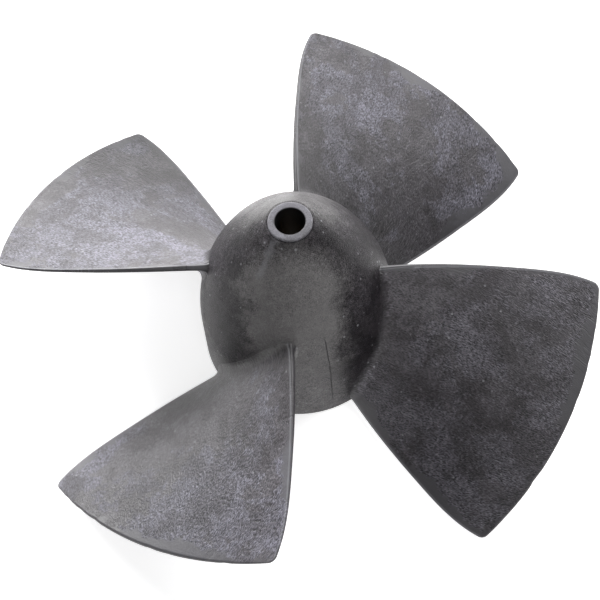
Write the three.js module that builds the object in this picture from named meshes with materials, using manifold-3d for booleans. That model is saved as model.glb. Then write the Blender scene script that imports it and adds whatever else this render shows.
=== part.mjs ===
// Four-blade bow thruster propeller, moulded in composite round a metal bush.
// Millimetres, +Z up. The shaft axis is +Z with the nose on top, the origin is the
// centre of the hub's rear face, and the blades' mid-lines lie on +X, +Y, -X and -Y.

import * as THREE from 'three';
import * as BufferGeometryUtils from 'three/addons/utils/BufferGeometryUtils.js';
import Module from 'manifold-3d';

// Overall sizes
const TIP_RADIUS = 90;
const HUB_RADIUS = 29.5;
const HUB_HEIGHT = 66;
const GAP = 0.3;

// Blades: a right-hand screw surface
const BLADE_COUNT = 4;
const PITCH = 234;
const PITCH_RADIUS = 60;
const PITCH_FALL_PER_MM = 0.002;
const BLADE_MID_HEIGHT = 20.4;
const TIP_HALF_ANGLE = THREE.MathUtils.degToRad(24.9);
const FORE_CORNER_LOSS = 0.7;
const ROOT_RAKE = 0.4;
const CAMBER = 0.7;
const EDGE_BOW = 3.4;
const BOW_RADIUS = 61;
const BOW_ROOT_SPAN = 34;
const BOW_ROOT_LOSS = 0.6;
const BOW_TIP_POWER = 3.5;
const ROOT_THICKNESS = 5;
const TIP_THICKNESS = 1.5;
const ROOT_EDGE_THICKNESS = 1.8;
const TIP_EDGE_THICKNESS = 0.7;
const EDGE_ROUND = 0.4;
const ROOT_FILLET = 3;
const FILLET_EDGE_SHARE = 0.25;
const CORNER_DROP = 1;

// Hub shell: a straight skirt, then a dome that narrows to the nose
const SKIRT_HEIGHT = 17;
const DOME_POWER = 2.2;
const WALL = 3;
const INNER_DOME_HEIGHT = 62;
const RIM_CHAMFER = 0.6;
const NOSE_COLLAR_HEIGHT = 65.3;
const NOSE_COLLAR_WIDTH = 0.4;

// Hub core: the boss round the shaft, with the nut seat on its nose
const NOSE_RADIUS = 6.4;
const NOSE_BORE_RADIUS = 4.3;
const NOSE_CHAMFER = 0.3;
const RECESS_DEPTH = 9;
const DRUM_RADIUS = 14;
const DRUM_TOP = 22;
const DRUM_CHAMFER = 0.5;
const BOSS_RADIUS = 9.5;
const BOSS_BOTTOM = 28;
const BOSS_TOP = 52;
const NECK_BOTTOM = 60;

// Metal bush for a 10 mm shaft
const BUSH_RADIUS = 7;
const BUSH_BORE_RADIUS = 5.02;
const BUSH_TOP = 50;
const BUSH_CHAMFER = 0.4;

// Slot for a 5 mm drive pin across the shaft
const PIN_SLOT_WIDTH = 5.2;
const PIN_SLOT_LENGTH = 22.6;
const PIN_SLOT_DEPTH = 6;

// Webs between the core and the shell
const WEB_COUNT = 8;
const WEB_THICKNESS = 2.4;
const WEB_TOP = 56;

// How finely curves are stepped
const HUB_SEGMENTS = 48;
const BUSH_SEGMENTS = 32;
const DOME_STEPS = 10;
const WEB_STEPS = 7;
const CHORD_STEPS = 12;
const SPAN_STEPS = 14;
const SPAN_CROWDING = 1.7;

const PIN_SLOT_FLOOR = RECESS_DEPTH + PIN_SLOT_DEPTH;
const CORE_BORE_RADIUS = BUSH_RADIUS + GAP;
const SHELL_NOSE_RADIUS = NOSE_RADIUS + GAP;

const wasm = await Module();
wasm.setup();

function composite(color, roughness) {
  return new THREE.MeshStandardMaterial({ color, roughness, metalness: 0 });
}

const bladeMaterial = composite(0x55545a, 0.55);
const shellMaterial = composite(0x4a494e, 0.5);
const coreMaterial = composite(0x6a6870, 0.45);
const webMaterial = composite(0x45444a, 0.6);
const bushMaterial = new THREE.MeshStandardMaterial({ color: 0xb08d4a, roughness: 0.35, metalness: 1 });

function namedMesh(name, geometry, material) {
  const mesh = new THREE.Mesh(geometry, material);
  mesh.name = name;
  return mesh;
}

// A ring turned round the shaft axis from a closed outline of [radius, height] points.
function turned(outline, segments) {
  const points = outline.map(([radius, height]) => new THREE.Vector2(radius, height));
  points.push(points[0].clone());
  const geometry = new THREE.LatheGeometry(points, segments);
  geometry.rotateX(Math.PI / 2);
  return geometry;
}

function toSolid(geometry) {
  const bare = geometry.clone();
  bare.deleteAttribute('normal');
  bare.deleteAttribute('uv');
  const merged = BufferGeometryUtils.mergeVertices(bare, 1e-4);
  const vertProperties = new Float32Array(merged.attributes.position.array);
  const triVerts = new Uint32Array(merged.index.array);
  return new wasm.Manifold(new wasm.Mesh({ numProp: 3, vertProperties, triVerts }));
}

function toGeometry(solid) {
  const mesh = solid.getMesh();
  const geometry = new THREE.BufferGeometry();
  geometry.setAttribute('position', new THREE.BufferAttribute(mesh.vertProperties, 3));
  geometry.setIndex(new THREE.BufferAttribute(mesh.triVerts, 1));
  geometry.computeVertexNormals();
  return geometry;
}

// Radius of a dome that leaves a skirt of radius base and reaches radius top at height end.
function domeRadius(height, base, top, end) {
  const rise = Math.max(0, (height - SKIRT_HEIGHT) / (end - SKIRT_HEIGHT));
  return top + (base - top) * (1 - rise ** DOME_POWER);
}

function shellOuterRadius(height) {
  return domeRadius(height, HUB_RADIUS, NOSE_RADIUS, HUB_HEIGHT);
}

function shellInnerRadius(height) {
  return domeRadius(height, HUB_RADIUS - WALL, SHELL_NOSE_RADIUS, INNER_DOME_HEIGHT);
}

// Points on a dome curve from the skirt's top up to a height.
function domeCurve(radiusAt, end, steps) {
  const curve = [];
  for (let i = 0; i <= steps; i += 1) {
    const height = THREE.MathUtils.lerp(SKIRT_HEIGHT, end, Math.sin((i / steps) * Math.PI / 2));
    curve.push([radiusAt(height), height]);
  }
  return curve;
}

function hubShell() {
  const collarRadius = SHELL_NOSE_RADIUS + NOSE_COLLAR_WIDTH;
  const collarFoot = NOSE_COLLAR_HEIGHT - NOSE_COLLAR_WIDTH;
  const outline = [
    [HUB_RADIUS - WALL + RIM_CHAMFER, 0],
    [HUB_RADIUS - RIM_CHAMFER, 0],
    [HUB_RADIUS, RIM_CHAMFER],
    ...domeCurve(shellOuterRadius, collarFoot, DOME_STEPS),
    [collarRadius, NOSE_COLLAR_HEIGHT],
    [SHELL_NOSE_RADIUS, NOSE_COLLAR_HEIGHT],
    ...domeCurve(shellInnerRadius, INNER_DOME_HEIGHT, DOME_STEPS).reverse(),
    [HUB_RADIUS - WALL, RIM_CHAMFER],
  ];
  return namedMesh('hub_shell', turned(outline, HUB_SEGMENTS), shellMaterial);
}

// Stadium-shaped cutter for the drive pin's slot, closed at both ends.
function pinSlotCutter() {
  const endRadius = PIN_SLOT_WIDTH / 2;
  const endCentre = PIN_SLOT_LENGTH / 2 - endRadius;
  const shape = new THREE.Shape();
  shape.absarc(endCentre, 0, endRadius, -Math.PI / 2, Math.PI / 2);
  shape.absarc(-endCentre, 0, endRadius, Math.PI / 2, 3 * Math.PI / 2);
  const cutter = new THREE.ExtrudeGeometry(shape, {
    depth: PIN_SLOT_DEPTH + 1,
    bevelEnabled: false,
    curveSegments: 6,
  });
  cutter.translate(0, 0, RECESS_DEPTH - 1);
  return cutter;
}

function hubCore() {
  const outline = [
    [CORE_BORE_RADIUS, RECESS_DEPTH],
    [DRUM_RADIUS - DRUM_CHAMFER, RECESS_DEPTH],
    [DRUM_RADIUS, RECESS_DEPTH + DRUM_CHAMFER],
    [DRUM_RADIUS, DRUM_TOP],
    [BOSS_RADIUS, BOSS_BOTTOM],
    [BOSS_RADIUS, BOSS_TOP],
    [NOSE_RADIUS, NECK_BOTTOM],
    [NOSE_RADIUS, HUB_HEIGHT - NOSE_CHAMFER],
    [NOSE_RADIUS - NOSE_CHAMFER, HUB_HEIGHT],
    [NOSE_BORE_RADIUS + NOSE_CHAMFER, HUB_HEIGHT],
    [NOSE_BORE_RADIUS, HUB_HEIGHT - NOSE_CHAMFER],
    [NOSE_BORE_RADIUS, BUSH_TOP + GAP],
    [CORE_BORE_RADIUS, BUSH_TOP + GAP],
  ];
  const body = toSolid(turned(outline, HUB_SEGMENTS));
  const slot = toSolid(pinSlotCutter());
  return namedMesh('hub_core', toGeometry(body.subtract(slot)), coreMaterial);
}

function shaftBush() {
  const outline = [
    [BUSH_BORE_RADIUS + BUSH_CHAMFER, PIN_SLOT_FLOOR],
    [BUSH_RADIUS - BUSH_CHAMFER, PIN_SLOT_FLOOR],
    [BUSH_RADIUS, PIN_SLOT_FLOOR + BUSH_CHAMFER],
    [BUSH_RADIUS, BUSH_TOP - BUSH_CHAMFER],
    [BUSH_RADIUS - BUSH_CHAMFER, BUSH_TOP],
    [BUSH_BORE_RADIUS + BUSH_CHAMFER, BUSH_TOP],
    [BUSH_BORE_RADIUS, BUSH_TOP - BUSH_CHAMFER],
    [BUSH_BORE_RADIUS, PIN_SLOT_FLOOR + BUSH_CHAMFER],
  ];
  return namedMesh('shaft_bush', turned(outline, BUSH_SEGMENTS), bushMaterial);
}

// Outline of one web in the plane through the shaft axis: x is radius, y is height.
function webShape() {
  const neckRise = (WEB_TOP - BOSS_TOP) / (NECK_BOTTOM - BOSS_TOP);
  const neckRadius = THREE.MathUtils.lerp(BOSS_RADIUS, NOSE_RADIUS, neckRise);
  const shape = new THREE.Shape();
  shape.moveTo(DRUM_RADIUS + GAP, RECESS_DEPTH);
  shape.lineTo(HUB_RADIUS - WALL - GAP, RECESS_DEPTH);
  domeCurve(shellInnerRadius, WEB_TOP, WEB_STEPS).forEach(([radius, height]) => {
    shape.lineTo(radius - 1.5 * GAP, height);
  });
  shape.lineTo(neckRadius + GAP, WEB_TOP);
  shape.lineTo(BOSS_RADIUS + GAP, BOSS_TOP + GAP);
  shape.lineTo(BOSS_RADIUS + GAP, BOSS_BOTTOM + GAP);
  shape.lineTo(DRUM_RADIUS + GAP, DRUM_TOP + GAP);
  return shape;
}

function hubWeb(index) {
  const geometry = new THREE.ExtrudeGeometry(webShape(), { depth: WEB_THICKNESS, bevelEnabled: false });
  geometry.translate(0, 0, -WEB_THICKNESS / 2);
  geometry.rotateX(Math.PI / 2);
  const web = namedMesh(`hub_web_${index + 1}`, geometry, webMaterial);
  web.rotation.z = (index / WEB_COUNT) * 2 * Math.PI;
  return web;
}

// Rise of the blade per radian of turn. The pitch falls slowly towards the tip.
function helixRise(radius) {
  const pitch = PITCH * (1 - PITCH_FALL_PER_MM * (radius - PITCH_RADIUS));
  return pitch / (2 * Math.PI);
}

// How far each long edge bows outside the radial line through its tip corner.
function edgeBow(radius) {
  if (radius < BOW_RADIUS) {
    const inboard = (BOW_RADIUS - radius) / BOW_ROOT_SPAN;
    return EDGE_BOW * (1 - BOW_ROOT_LOSS * inboard ** 2);
  }
  const outboard = Math.min(1, (radius - BOW_RADIUS) / (TIP_RADIUS - BOW_RADIUS));
  return EDGE_BOW * (1 - outboard ** BOW_TIP_POWER);
}

// The root fillet's extra half thickness at a distance from the hub.
function filletFlare(distance) {
  const reach = Math.max(0, 1 - distance / ROOT_FILLET);
  return ROOT_FILLET * (1 - Math.sqrt(1 - reach ** 2));
}

// Angle and height of a blade point. across runs -1 to 1 from the aft edge to the fore
// edge, side is -1 on the rear face and 1 on the nose face, out is the distance from the hub.
function bladeAngleAndHeight(radius, across, side, out) {
  const span = THREE.MathUtils.clamp((radius - HUB_RADIUS) / (TIP_RADIUS - HUB_RADIUS), 0, 1);
  const inner = 1 - across ** 2;
  const middle = THREE.MathUtils.lerp(ROOT_THICKNESS, TIP_THICKNESS, span);
  const edge = THREE.MathUtils.lerp(ROOT_EDGE_THICKNESS, TIP_EDGE_THICKNESS, span);
  const half = THREE.MathUtils.lerp(edge, middle, inner) / 2
    + filletFlare(out) * THREE.MathUtils.lerp(FILLET_EDGE_SHARE, 1, inner);
  const rise = helixRise(radius);
  const length = Math.hypot(radius, rise);
  const onEdge = Math.abs(across) > 0.999 ? 1 : 0;
  const round = onEdge * EDGE_ROUND * side ** 2;
  const edgeAngle = TIP_HALF_ANGLE + Math.asin((edgeBow(radius) - round) / radius);
  const meanAngle = across * edgeAngle;
  const meanHeight = BLADE_MID_HEIGHT + rise * meanAngle
    + ROOT_RAKE * (1 - radius / TIP_RADIUS) + CAMBER * inner;
  return {
    angle: meanAngle - side * half * rise / (length * radius),
    height: meanHeight + side * half * radius / length,
  };
}

// Radius at which a line of blade points meets the hub, with the working gap.
function rootRadius(across, side) {
  let radius = HUB_RADIUS;
  for (let i = 0; i < 8; i += 1) {
    const { height } = bladeAngleAndHeight(radius, across, side, 0);
    radius = shellOuterRadius(height) + GAP;
  }
  return radius;
}

function tipRadius(across, side) {
  const foreLoss = FORE_CORNER_LOSS * (1 + across) / 2;
  return TIP_RADIUS - foreLoss - CORNER_DROP * Math.abs(across) ** 12 - EDGE_ROUND * side ** 2;
}

function bladeGeometry() {
  const geometry = new THREE.BoxGeometry(2, 2, 1, CHORD_STEPS, 2, SPAN_STEPS);
  const position = geometry.attributes.position;
  for (let i = 0; i < position.count; i += 1) {
    const across = position.getX(i);
    const side = position.getY(i);
    const along = (position.getZ(i) + 0.5) ** SPAN_CROWDING;
    const root = rootRadius(across, side);
    const radius = THREE.MathUtils.lerp(root, tipRadius(across, side), along);
    const { angle, height } = bladeAngleAndHeight(radius, across, side, radius - root);
    position.setXYZ(i, radius * Math.cos(angle), radius * Math.sin(angle), height);
  }
  geometry.computeVertexNormals();
  return geometry;
}

function blade(index) {
  const mesh = namedMesh(`blade_${index + 1}`, bladeGeometry(), bladeMaterial);
  mesh.rotation.z = (index / BLADE_COUNT) * 2 * Math.PI;
  return mesh;
}

const propeller = new THREE.Group();
propeller.add(hubShell(), hubCore(), shaftBush());
for (let i = 0; i < WEB_COUNT; i += 1) {
  propeller.add(hubWeb(i));
}
for (let i = 0; i < BLADE_COUNT; i += 1) {
  propeller.add(blade(i));
}

export default propeller;
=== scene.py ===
"""Bow thruster propeller: four screw blades on a domed hub, moulded in fibre-filled composite.

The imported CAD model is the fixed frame. Each operator builds one piece, or one group of
like pieces, in place round the shaft axis, +Z up, in metres.
"""

import functools
import math
import random

import bmesh
import bpy
from mathutils import Matrix, Vector, noise


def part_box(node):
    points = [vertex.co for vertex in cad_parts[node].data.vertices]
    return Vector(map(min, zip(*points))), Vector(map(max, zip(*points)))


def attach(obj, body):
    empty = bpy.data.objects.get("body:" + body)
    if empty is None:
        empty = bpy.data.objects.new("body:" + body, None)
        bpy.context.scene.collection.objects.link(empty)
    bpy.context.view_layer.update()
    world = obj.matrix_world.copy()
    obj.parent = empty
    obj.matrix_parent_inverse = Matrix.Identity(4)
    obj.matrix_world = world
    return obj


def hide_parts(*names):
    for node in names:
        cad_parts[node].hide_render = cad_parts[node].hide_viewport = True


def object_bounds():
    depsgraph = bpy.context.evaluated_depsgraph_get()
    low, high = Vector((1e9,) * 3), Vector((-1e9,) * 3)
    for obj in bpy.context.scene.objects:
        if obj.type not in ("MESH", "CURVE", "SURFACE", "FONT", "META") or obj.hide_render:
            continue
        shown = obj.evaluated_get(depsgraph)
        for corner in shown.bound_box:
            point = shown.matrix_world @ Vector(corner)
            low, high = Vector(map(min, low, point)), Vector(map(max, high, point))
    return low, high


bl_info = {
    "name": "Thruster propeller",
    "version": (1, 0, 0),
    "blender": (4, 5, 0),
    "location": "3D View > Sidebar > Propeller",
    "description": "Builds a moulded four-blade thruster propeller",
    "category": "Add Mesh",
}

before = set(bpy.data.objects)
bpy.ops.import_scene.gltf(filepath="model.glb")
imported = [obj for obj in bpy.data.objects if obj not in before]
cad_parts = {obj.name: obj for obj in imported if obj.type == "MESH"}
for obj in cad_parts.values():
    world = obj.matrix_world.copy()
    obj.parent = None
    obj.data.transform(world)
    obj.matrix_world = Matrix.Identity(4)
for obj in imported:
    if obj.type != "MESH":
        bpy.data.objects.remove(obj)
CAD_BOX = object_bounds()

MM = 0.001
SHELL_LOW, SHELL_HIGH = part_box("hub_shell")
CORE_LOW, CORE_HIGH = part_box("hub_core")
BUSH_LOW, BUSH_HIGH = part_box("shaft_bush")
WEB_LOW, WEB_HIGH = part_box("hub_web_1")
BLADE_NODES = sorted(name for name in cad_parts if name.startswith("blade_"))
WEB_NODES = sorted(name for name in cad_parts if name.startswith("hub_web_"))

# How far a piece sinks into its neighbour, so that the moulding shows no seam.
SINK = 0.6 * MM


# ---------------- settings


def length_prop(name, description, default):
    return bpy.props.FloatProperty(
        name=name, description=description, default=default, unit="LENGTH", precision=4
    )


def angle_prop(name, description, degrees):
    return bpy.props.FloatProperty(
        name=name, description=description, default=math.radians(degrees), unit="ROTATION"
    )


def colour_prop(name, description, default):
    return bpy.props.FloatVectorProperty(
        name=name, description=description, default=default, size=4, subtype="COLOR", min=0, max=1
    )


class BladeSizes(bpy.types.PropertyGroup):
    """Shape of one blade. The blades are right-hand screw surfaces."""

    tip_radius: length_prop("Tip radius", "Radius of the tip arc at the aft corner", 90 * MM)
    fore_loss: length_prop("Fore corner loss", "How much shorter the fore corner is", 0.7 * MM)
    pitch: length_prop("Pitch", "Screw pitch at the pitch radius", 234 * MM)
    pitch_radius: length_prop("Pitch radius", "Radius at which the pitch is given", 60 * MM)
    pitch_fall: bpy.props.FloatProperty(
        name="Pitch fall", description="Share of the pitch lost per metre of radius", default=2.0
    )
    mid_height: length_prop("Mid height", "Height of the blade's mid-line", 20.4 * MM)
    half_angle: angle_prop("Half angle", "Angle from the mid-line to a tip corner", 24.9)
    rake: length_prop("Rake", "Extra height of the blade at the shaft axis", 0.4 * MM)
    camber: length_prop("Camber", "Rise of the blade's middle over its edges", 0.7 * MM)
    edge_bow: length_prop("Edge bow", "Bow of the long edges outside a radial line", 3.4 * MM)
    bow_radius: length_prop("Bow radius", "Radius at which the long edges bow most", 61 * MM)
    root_thickness: length_prop("Root thickness", "Thickness of the middle at the hub", 5 * MM)
    tip_thickness: length_prop("Tip thickness", "Thickness of the middle at the tip", 1.5 * MM)
    root_edge: length_prop("Root edge", "Thickness of the long edges at the hub", 1.8 * MM)
    tip_edge: length_prop("Tip edge", "Thickness of the long edges at the tip", 0.7 * MM)
    fore_corner: length_prop("Fore corner", "Corner radius between fore edge and tip", 1.7 * MM)
    aft_corner: length_prop("Aft corner", "Corner radius between aft edge and tip", 1.5 * MM)
    fillet: length_prop("Root fillet", "Radius where the blade runs into the hub", 3 * MM)


class HubSizes(bpy.types.PropertyGroup):
    """Shape of the hub and what is inside it."""

    skirt_height: length_prop("Skirt height", "Height of the hub's straight skirt", 17 * MM)
    dome_power: bpy.props.FloatProperty(
        name="Dome fullness", description="Higher is a blunter dome", default=2.2
    )
    wall: length_prop("Wall", "Wall of the hub shell", 3 * MM)
    nose_radius: length_prop("Nose radius", "Outside radius of the nose ring", 6.4 * MM)
    nose_bore: length_prop("Nose bore", "Radius of the open nose bore", 4.3 * MM)
    ring_stand: length_prop("Ring stand", "How far the nose ring stands proud", 0.8 * MM)
    inner_dome_top: length_prop("Inner dome top", "Height where the shell's hollow closes", 62 * MM)
    boss_radius: length_prop("Boss radius", "Radius of the boss round the bush", 9.5 * MM)
    slot_width: length_prop("Pin slot width", "Width of the drive pin's slot", 5.2 * MM)
    slot_length: length_prop("Pin slot length", "Length of the drive pin's slot", 22.6 * MM)
    bush_bore: length_prop("Bush bore", "Radius of the bush's bore", 5.02 * MM)


class Finishes(bpy.types.PropertyGroup):
    """Colours of the composite, the bush and the floor."""

    dark: colour_prop("Dark composite", "Resin between the fibres", (0.0450, 0.0402, 0.0455, 1))
    plain: colour_prop("Plain composite", "Smooth grey resin", (0.0770, 0.0715, 0.0805, 1))
    frost: colour_prop("Frosted composite", "Lavender frosted skin", (0.116, 0.112, 0.137, 1))
    band: colour_prop("Resin band", "Smooth resin along the edges", (0.080, 0.078, 0.083, 1))
    edge: colour_prop("Edge", "Narrow sides of a blade", (0.048, 0.046, 0.050, 1))
    # Pale colour of the painted highlight along the blades' edges, also used for the hub's scuff
    # mark.
    highlight_and_scuff: colour_prop("Worn rim", "Rubbed corners and edges", (0.26, 0.26, 0.28, 1))
    hub_dark: colour_prop("Dark hub", "Darkest composite of the hub", (0.016, 0.014, 0.0165, 1))
    hub_plain: colour_prop("Plain hub", "Smooth composite of the hub", (0.027, 0.024, 0.027, 1))
    hub_frost: colour_prop("Frosted hub", "Gritty composite of the hub", (0.040, 0.036, 0.041, 1))
    # Pale colour of the light painted onto the hub; the webs use it for their frost.
    hub_pale_and_painted_light: colour_prop("Pale hub", "Rubbed composite of the hub", (0.150, 0.145, 0.146, 1))
    nose: colour_prop("Nose ring", "Smooth face under the nut", (0.175, 0.171, 0.192, 1))
    speck: colour_prop("Speck", "Fibre ends and dust in the skin", (0.42, 0.42, 0.45, 1))
    # Near-black painted shade on the nose bore's wall.
    bore_shade: colour_prop("Grease", "Black grease in the nose bore", (0.006, 0.006, 0.007, 1))
    bronze: colour_prop("Bush bronze", "Turned bronze", (0.50, 0.34, 0.16, 1))
    tarnish: colour_prop("Bush tarnish", "Bronze dulled by water", (0.16, 0.12, 0.07, 1))
    floor: colour_prop("Floor", "Studio floor", (0.93, 0.93, 0.93, 1))
    backdrop: colour_prop("Backdrop", "Studio wall behind the floor", (0.9, 0.9, 0.9, 1))


class StageSettings(bpy.types.PropertyGroup):
    """Camera, lights and floor."""

    azimuth: angle_prop("Azimuth", "Camera's turn round the shaft axis", 32.85)
    elevation: angle_prop("Elevation", "Camera's height over the horizon", 61.58)
    roll: angle_prop("Roll", "Camera's turn about its own axis", -4.86)
    distance: length_prop("Distance", "Camera's distance from the aim point", 476 * MM)
    aim_height: length_prop("Aim height", "Height of the aim point on the axis", 34.6 * MM)
    slide_right: length_prop("Slide right", "Camera's slide to its right", 1.54 * MM)
    slide_up: length_prop("Slide up", "Camera's slide upwards", -7.17 * MM)
    lens: bpy.props.FloatProperty(name="Lens", description="Focal length in mm", default=96.3)


def sizes():
    return bpy.context.scene.propeller_blade, bpy.context.scene.propeller_hub


def finishes():
    return bpy.context.scene.propeller_finish


# ---------------- node helpers


def node(tree, kind, inputs=None, **settings):
    """Adds a shader node, sets it and feeds its sockets with values or other sockets."""
    new = tree.nodes.new(kind)
    for name, value in settings.items():
        setattr(new, name, value)
    for name, value in (inputs or {}).items():
        if isinstance(value, bpy.types.NodeSocket):
            tree.links.new(value, new.inputs[name])
        else:
            new.inputs[name].default_value = value
    return new


def maths(tree, operation, first, second=0.0, clamp=False):
    new = node(tree, "ShaderNodeMath", {0: first, 1: second}, operation=operation, use_clamp=clamp)
    return new.outputs[0]


def product(tree, first, *others):
    for value in others:
        first = maths(tree, "MULTIPLY", first, value)
    return first


def scaled(tree, value, gain, lift):
    """A value times a gain, plus a lift."""
    return maths(tree, "ADD", maths(tree, "MULTIPLY", value, gain), lift)


def centred(tree, value, gain):
    """A noise value moved to swing round 0 and multiplied."""
    return maths(tree, "MULTIPLY", maths(tree, "SUBTRACT", value, 0.5), gain)


def thin_lines(tree, value, sharpness):
    """1 along the middle level of a noise value, falling to 0 on both sides."""
    away = maths(tree, "ABSOLUTE", centred(tree, value, sharpness))
    return maths(tree, "SUBTRACT", 1.0, away, True)


def smooth_step(tree, value, low, high):
    """0 at low, 1 at high, eased between. With low above high it falls instead."""
    inputs = {"Value": value, "From Min": low, "From Max": high}
    new = node(tree, "ShaderNodeMapRange", inputs, interpolation_type="SMOOTHSTEP")
    return new.outputs["Result"]


def blend_colour(tree, factor, first, second, blend_type="MIX"):
    inputs = {0: factor, 6: first, 7: second}
    return node(tree, "ShaderNodeMix", inputs, data_type="RGBA", blend_type=blend_type).outputs[2]


def noise_value(tree, vector, scale, detail=2.0, roughness=0.5, distortion=0.0):
    inputs = {
        "Vector": vector,
        "Scale": scale,
        "Detail": detail,
        "Roughness": roughness,
        "Distortion": distortion,
    }
    return node(tree, "ShaderNodeTexNoise", inputs).outputs["Fac"]


def new_group(name, sockets):
    """A shader node group with named sockets. Returns the group, its input and its output node.

    sockets holds, for each way and kind, such as ("INPUT", "Float"), the names and the defaults.
    """
    group = bpy.data.node_groups.new(name, "ShaderNodeTree")
    for (way, kind), named in sockets.items():
        for socket, default in named.items():
            made = group.interface.new_socket(
                name=socket, in_out=way, socket_type="NodeSocket" + kind
            )
            if default is not None:
                made.default_value = default
    return group, group.nodes.new("NodeGroupInput"), group.nodes.new("NodeGroupOutput")


def shared(collection, name):
    """Lets a builder make its data block once, and finds it again by its name after that."""

    def wrap(build):
        @functools.wraps(build)
        def find():
            return getattr(bpy.data, collection).get(name) or build(name)

        return find

    return wrap


def new_material(name):
    """An empty material with its Principled shader and its object coordinates."""
    material = bpy.data.materials.new(name)
    material.use_nodes = True
    tree = material.node_tree
    shader = tree.nodes["Principled BSDF"]
    place = node(tree, "ShaderNodeTexCoord").outputs["Object"]
    return material, tree, shader, place


def connect(tree, shader, colour, roughness, height, depth, strength=1.0):
    """Feeds a shader its colour, roughness and relief. The relief is depth high."""
    tree.links.new(colour, shader.inputs["Base Color"])
    if isinstance(roughness, bpy.types.NodeSocket):
        tree.links.new(roughness, shader.inputs["Roughness"])
    else:
        shader.inputs["Roughness"].default_value = roughness
    inputs = {"Height": height, "Distance": depth, "Strength": strength}
    bump = node(tree, "ShaderNodeBump", inputs)
    tree.links.new(bump.outputs["Normal"], shader.inputs["Normal"])


# ---------------- shared finishes

# Scales of the skin's patterns, in cells per metre.
HAZE_SCALE = 85.0
MOTTLE_SCALE = 330.0
SPECK_SCALE = 560.0
GAP_SCALE = 900.0
STROKE_SCALE = 2000.0
GRIT_SCALE = 3000.0

STROKE_SHARE = 0.9
# What the strokes add on average. It is taken off again, so that the grain swings round 0.
STROKE_MEAN = 0.13

# Noise levels between which a frosted patch sets in. The closer, the sharper its border.
PATCH_BORDER = (0.48, 0.515)
HAZE_BORDER = (0.44, 0.54)

# The darkest that the grain makes a colour, how strongly specks show, and how far the frost
# stands up against the grain's relief.
DARKEST_TONE = 0.15
SPECK_SHOW = 0.45
FROST_STAND = 0.3


@shared("node_groups", "Chopped fibres")
def fibre_group(name):
    """Grit and short fibre strokes just under the skin, swinging round 0."""
    group, given, result = new_group(name, {
        ("INPUT", "Vector"): dict.fromkeys(("Vector", "Flow")),
        ("OUTPUT", "Float"): {"Value": None},
    })
    vector = given.outputs["Vector"]
    flow = given.outputs["Flow"]
    mottle = centred(group, noise_value(group, vector, MOTTLE_SCALE, 2.5, 0.85), 2.0)
    grit = centred(group, noise_value(group, flow, GRIT_SCALE, 0.8, 0.8, 0.3), 4.9)
    strokes = thin_lines(group, noise_value(group, flow, STROKE_SCALE, 0.5, 0.5, 0.6), 8.0)
    broken = smooth_step(group, noise_value(group, vector, GAP_SCALE, 0.0), 0.47, 0.58)
    strokes = product(group, strokes, broken, STROKE_SHARE)
    value = maths(group, "ADD", maths(group, "ADD", grit, mottle), strokes)
    group.links.new(maths(group, "SUBTRACT", value, STROKE_MEAN), result.inputs["Value"])
    return group


@shared("node_groups", "Composite skin")
def skin_group(name):
    """Mottled composite skin: frosted patches, fibres, specks and the relief they leave."""
    group, given, result = new_group(name, {
        ("INPUT", "Vector"): dict.fromkeys(("Vector", "Flow")),
        ("INPUT", "Color"): dict.fromkeys(("Dark", "Plain", "Frost", "Speck")),
        ("INPUT", "Float"): {
            "Patch Scale": 45.0,
            "Patch Shift": 0.0,
            "Patch Cover": 1.0,
            "Speck Share": 0.1,
            "Grain": 1.0,
        },
        ("OUTPUT", "Color"): {"Colour": None},
        ("OUTPUT", "Float"): dict.fromkeys(("Frosted", "Height")),
    })
    vector = given.outputs["Vector"]
    grain = given.outputs["Grain"]
    cloud = noise_value(group, vector, given.outputs["Patch Scale"], 10.0, 0.68, 0.25)
    cloud = maths(group, "ADD", cloud, given.outputs["Patch Shift"])
    frosted = smooth_step(group, cloud, *PATCH_BORDER)
    haze = smooth_step(group, noise_value(group, vector, HAZE_SCALE, 9.0, 0.70), *HAZE_BORDER)
    ground = blend_colour(group, haze, given.outputs["Dark"], given.outputs["Plain"])
    cover = product(group, scaled(group, haze, 0.6, 0.4), frosted, given.outputs["Patch Cover"])
    colour = blend_colour(group, cover, ground, given.outputs["Frost"])
    inputs = {"Vector": vector, "Flow": given.outputs["Flow"]}
    fibres = node(group, "ShaderNodeGroup", inputs, node_tree=fibre_group())
    coarse = maths(group, "MULTIPLY", scaled(group, frosted, 0.26, 0.60), grain)
    value = maths(group, "MULTIPLY", fibres.outputs["Value"], coarse)
    tone = maths(group, "MAXIMUM", maths(group, "ADD", value, 1.0), DARKEST_TONE)
    colour = blend_colour(group, 1.0, colour, tone, "MULTIPLY")
    cells = node(group, "ShaderNodeTexVoronoi", {"Vector": vector, "Scale": SPECK_SCALE})
    dot = smooth_step(group, cells.outputs["Distance"], 0.26, 0.12)
    pick = node(group, "ShaderNodeSeparateColor", {"Color": cells.outputs["Color"]})
    common = maths(group, "SUBTRACT", 1.0, given.outputs["Speck Share"])
    rare = smooth_step(group, pick.outputs["Red"], common, 1.0)
    speck = product(group, dot, rare, grain, SPECK_SHOW)
    colour = blend_colour(group, speck, colour, given.outputs["Speck"])
    height = maths(group, "ADD", maths(group, "MULTIPLY", frosted, FROST_STAND), value)
    group.links.new(colour, result.inputs["Colour"])
    group.links.new(frosted, result.inputs["Frosted"])
    group.links.new(height, result.inputs["Height"])
    return group


# ---------------- materials

# Azimuth, in degrees, of the gap between two blades where light is painted pale onto the hub.
PAINTED_HUB_LIGHT_AZIMUTH = -62

# Marks down the hub: azimuth in degrees, lowest point, highest point and half width.
SCRATCH = (-41, 7 * MM, 40 * MM, 0.22 * MM)
SCUFF = (-98, 55 * MM, 66 * MM, 1.5 * MM)

# Specular level of the hub's rough skin. A smooth skin's is 0.5.
HUB_SPECULAR = 0.18

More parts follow.
